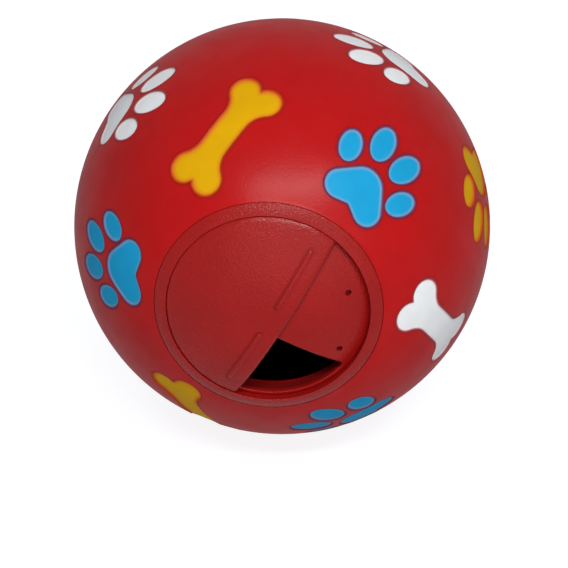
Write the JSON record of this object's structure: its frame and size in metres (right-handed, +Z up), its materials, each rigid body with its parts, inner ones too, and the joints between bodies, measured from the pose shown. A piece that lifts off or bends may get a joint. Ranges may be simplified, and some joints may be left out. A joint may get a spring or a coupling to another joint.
{
  "type": "treat ball",
  "caption": "Hollow vinyl pet ball with painted paw prints and bones, and a round port whose turning half-disc shutter sets how fast dry treats drop out as it rolls.",
  "frame": {"origin": "the point of the floor under the ball's centre, where the ball rests", "axes": "+Z up, and the treat port looks along -Y"},
  "size_m": [0.14, 0.1398, 0.14],
  "materials": {
    "vinyl_red": "satin soft vinyl, smooth",
    "plastic_red": "fine-grained moulded polypropylene",
    "paint_blue": "satin spray paint",
    "paint_white": "satin spray paint",
    "paint_yellow": "satin spray paint"
  },
  "bodies": {
    "ball": {"ball_shell": "vinyl_red", "port_insert": "plastic_red", "yellow_bone_upper": "paint_yellow", "blue_paw_right": "paint_blue", "white_bone_right": "paint_white", "blue_paw_lower": "paint_blue", "yellow_bone_lower": "paint_yellow", "blue_paw_left": "paint_blue", "white_paw_left": "paint_white", "white_paw_top": "paint_white", "yellow_paw_right": "paint_yellow", "white_paw_under": "paint_white", "yellow_paw_under": "paint_yellow", "white_bone_back_left": "paint_white", "yellow_bone_back_top": "paint_yellow", "blue_paw_back_right": "paint_blue", "white_bone_back_right": "paint_white", "yellow_paw_back_under": "paint_yellow", "blue_paw_back_left": "paint_blue", "white_paw_rear": "paint_white"},
    "shutter": {"shutter": "plastic_red"}
  },
  "joints": [
    {"name": "shutter_turn", "type": "hinge", "parent": "ball", "child": "shutter", "pos_m": [0, -0.0635, 0.07], "axis": [0, -1, 0], "continuous": true}
  ]
}
